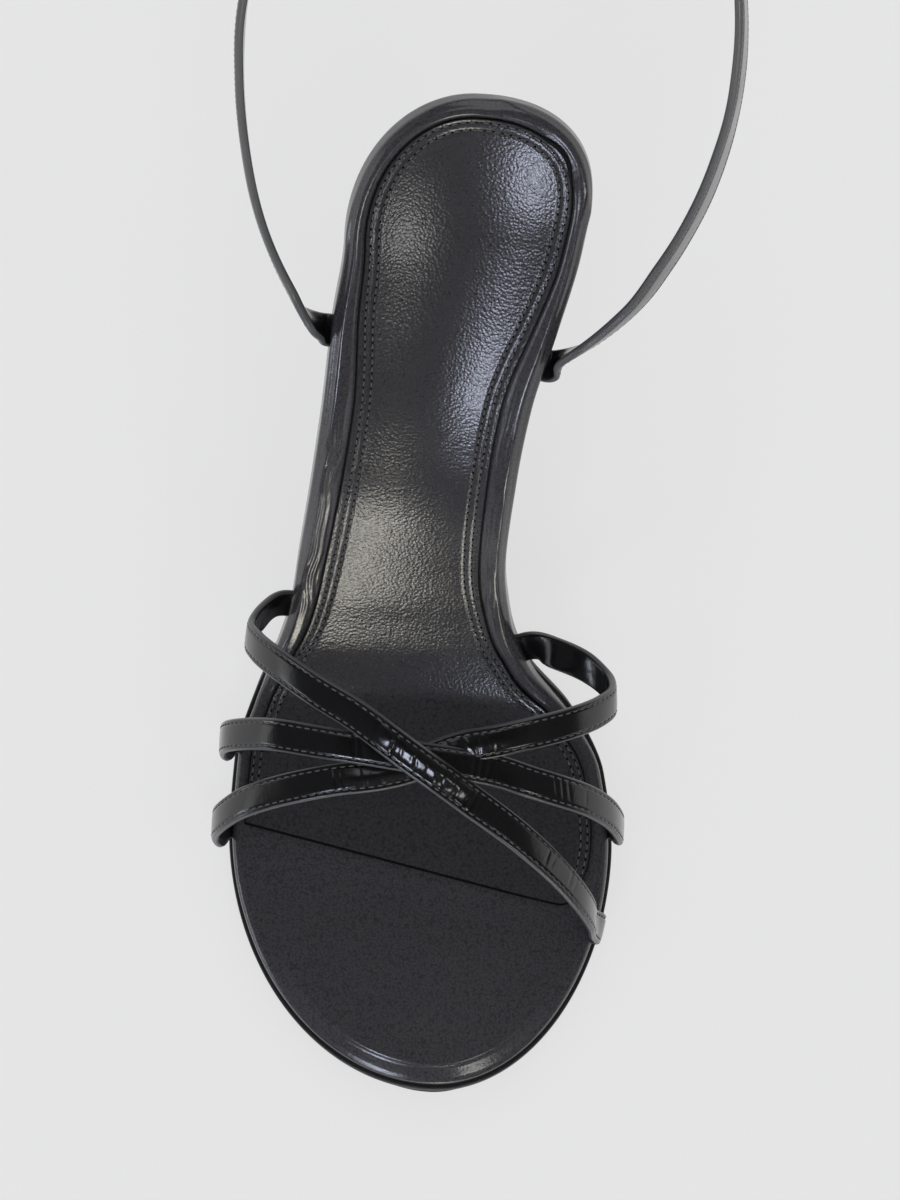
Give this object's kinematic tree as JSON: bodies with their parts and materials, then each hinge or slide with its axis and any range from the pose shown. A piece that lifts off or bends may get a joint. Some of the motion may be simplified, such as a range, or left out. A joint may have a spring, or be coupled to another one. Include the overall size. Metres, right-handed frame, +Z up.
{
  "type": "strappy heeled sandal",
  "caption": "Right-foot sandal with narrow leather straps crossed over an open forefoot, a looped and buckled ankle strap, a cupped footbed and a slim high heel.",
  "frame": {"origin": "on the floor under the ball of the foot, in the middle of the outsole's flat tread", "axes": "+Z up, +Y towards the heel, +X towards the inner side of the foot, so the toe points to -Y"},
  "size_m": [0.1028, 0.2704, 0.1922],
  "materials": {
    "strap_leather": "glossy, folded and stitched at both edges",
    "footbed_leather": "satin, fine grain",
    "sock_leather": "satin, fine grain, stitched at the edge",
    "outsole_leather": "smooth, matt",
    "heel_leather": "glossy, wrapped over the heel",
    "tip_rubber": "matt",
    "buckle_metal": "polished pale gold"
  },
  "bodies": {
    "root": {"outsole": "outsole_leather", "insole": "footbed_leather", "sock_lining": "sock_leather", "heel": "heel_leather", "heel_tip": "tip_rubber", "upper": "strap_leather", "ankle_strap": "strap_leather", "strap_tail": "strap_leather", "strap_keeper": "strap_leather", "buckle_frame": "buckle_metal", "buckle_prong": "buckle_metal"}
  },
  "joints": []
}
